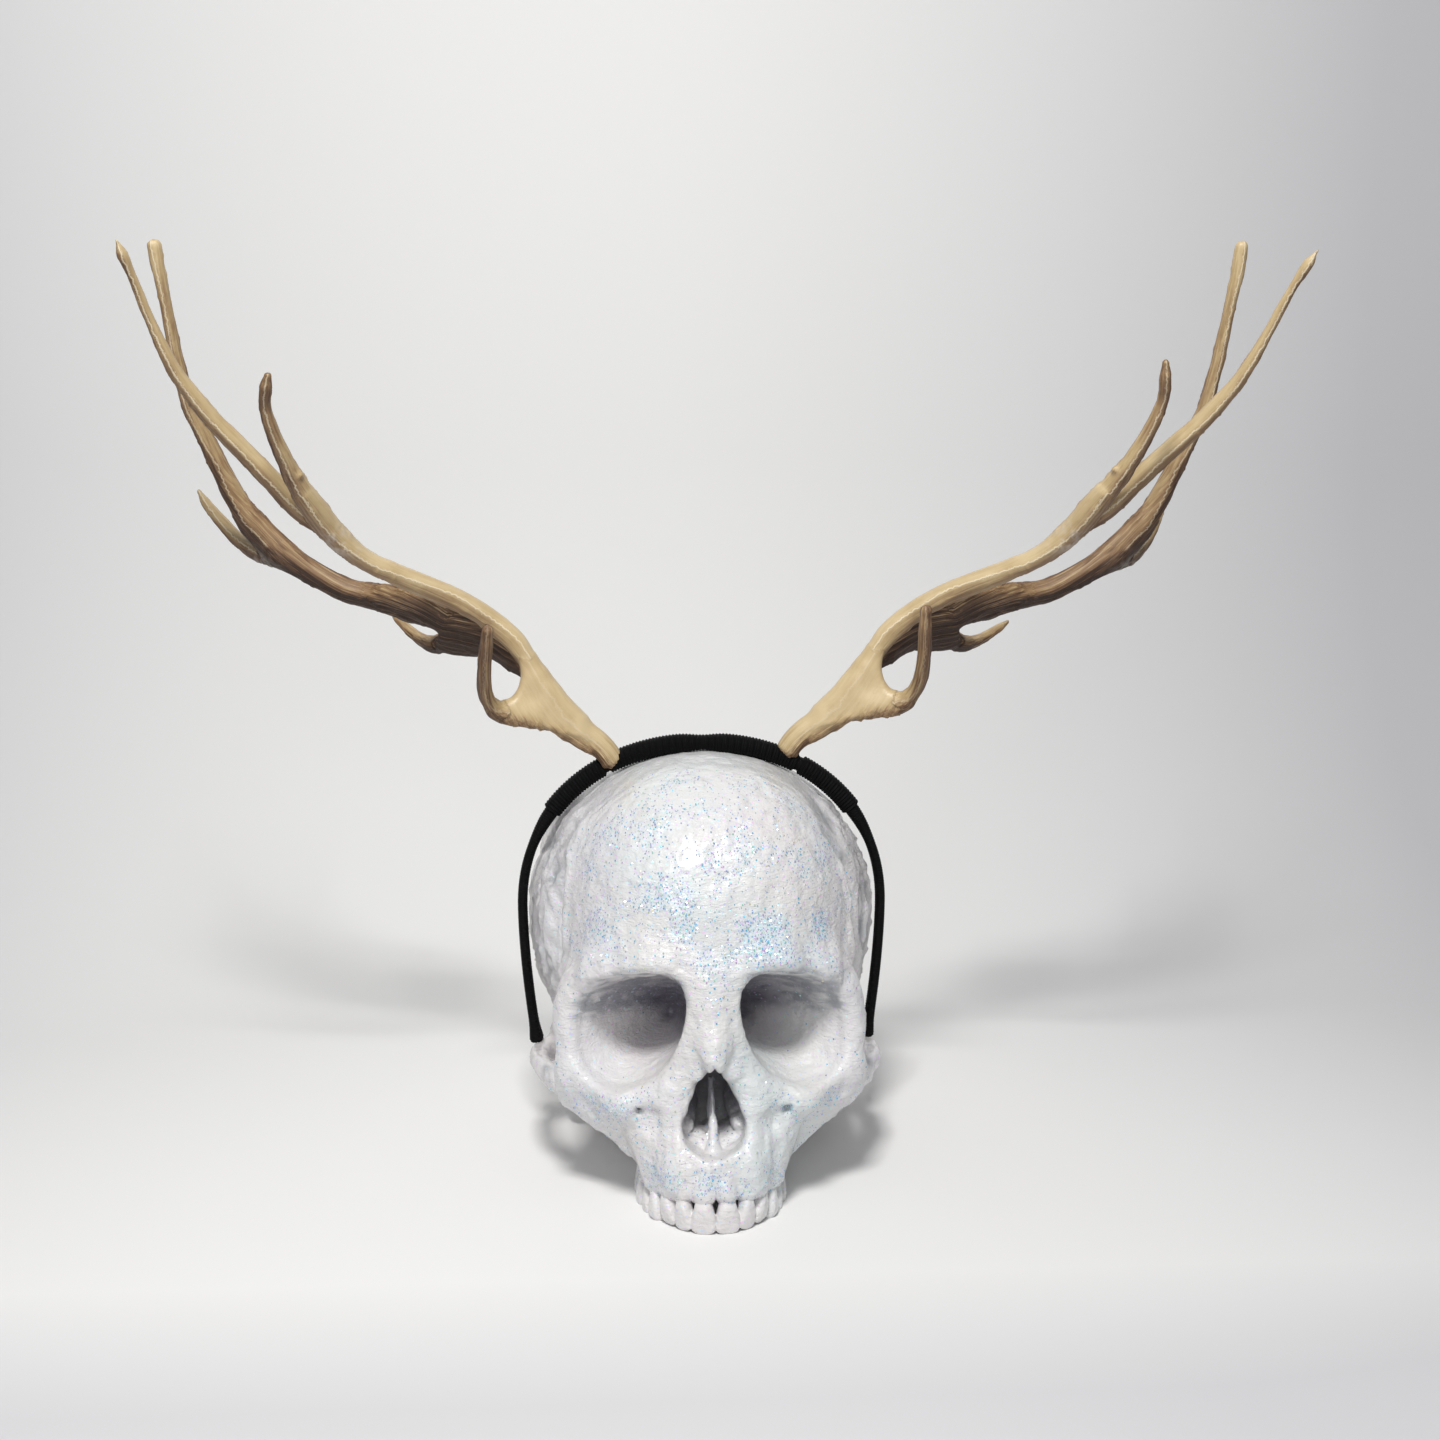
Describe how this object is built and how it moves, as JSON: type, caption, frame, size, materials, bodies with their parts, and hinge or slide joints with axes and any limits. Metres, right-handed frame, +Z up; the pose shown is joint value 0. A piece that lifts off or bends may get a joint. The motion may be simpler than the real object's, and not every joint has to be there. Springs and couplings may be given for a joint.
{
  "type": "elk antler headband on a display skull",
  "caption": "Life-size pair of branching costume elk antlers on a cord-wrapped headband, worn by a white glittered display skull without its jaw.",
  "frame": {"origin": "bottom centre of the whole display's outline, on the surface the skull stands on", "axes": "+X to the viewer's right across the antlers, +Z up, and the face looks along -Y"},
  "size_m": [0.42, 0.1966, 0.356],
  "materials": {
    "antler": "satin paint over moulded plastic, brown wash in the grooves",
    "cord": "black ribbed cord",
    "skull": "pearl white with glitter flakes"
  },
  "bodies": {
    "root": {"antler_left_base": "antler", "antler_left_brow_tine": "antler", "antler_left_palm": "antler", "antler_left_front_beam": "antler", "antler_left_inner_tine": "antler", "antler_left_long_tine": "antler", "antler_left_rear_beam": "antler", "antler_left_rear_tine": "antler", "antler_left_back_tine": "antler", "antler_left_spur": "antler", "antler_right_base": "antler", "antler_right_brow_tine": "antler", "antler_right_palm": "antler", "antler_right_front_beam": "antler", "antler_right_inner_tine": "antler", "antler_right_long_tine": "antler", "antler_right_rear_beam": "antler", "antler_right_rear_tine": "antler", "antler_right_back_tine": "antler", "antler_right_spur": "antler", "headband_hoop": "cord", "headband_wrap_centre": "cord", "headband_wrap_left": "cord", "headband_wrap_right": "cord", "skull_braincase": "skull", "skull_face": "skull", "skull_cheek_arch_left": "skull", "skull_cheek_arch_right": "skull"}
  },
  "joints": []
}
